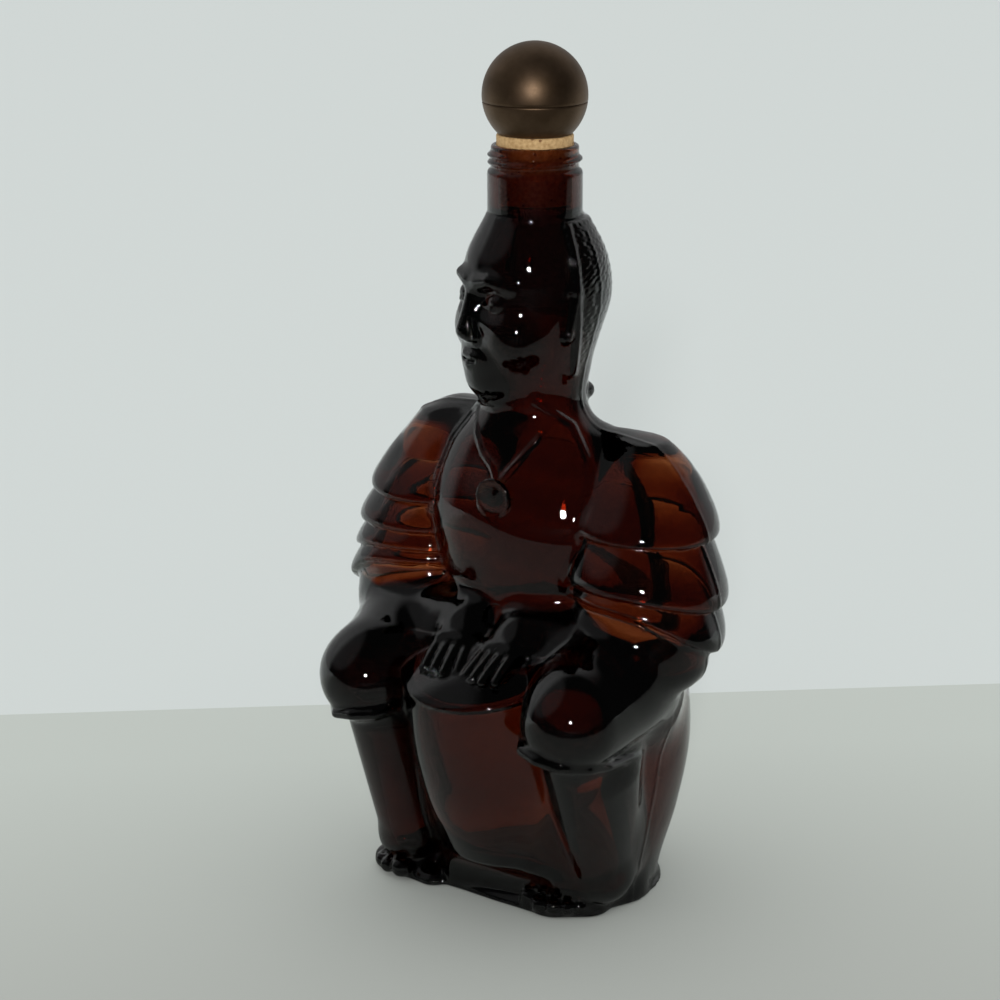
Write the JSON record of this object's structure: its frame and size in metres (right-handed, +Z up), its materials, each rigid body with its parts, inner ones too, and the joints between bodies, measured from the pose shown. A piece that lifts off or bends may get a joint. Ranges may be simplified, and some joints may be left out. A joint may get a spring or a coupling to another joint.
{
  "type": "figural liquor decanter",
  "caption": "Amber glass liquor bottle blown as a seated drummer, stopped at the crown of the head by a tapered cork under a hollow brass ball.",
  "frame": {"origin": "middle of the base on the table, on the axis of the bore", "axes": "+Z up along the bore, -Y the way the figure's body faces, +X to the figure's left"},
  "size_m": [0.1376, 0.1169, 0.2927],
  "materials": {
    "amber_glass": "fire-polished mould-blown",
    "cork": "ground natural cork",
    "brass": "antiqued satin",
    "steel": "zinc plated"
  },
  "bodies": {
    "bottle": {"glass_bottle": "amber_glass"},
    "stopper": {"cork": "cork", "knob_upper_shell": "brass", "knob_lower_shell": "brass", "knob_screw": "steel", "knob_washer": "steel"}
  },
  "joints": [
    {"name": "stopper_pull", "type": "slide", "parent": "bottle", "child": "stopper", "axis": [0, 0, 1], "range_m": [0, 0.06]}
  ]
}
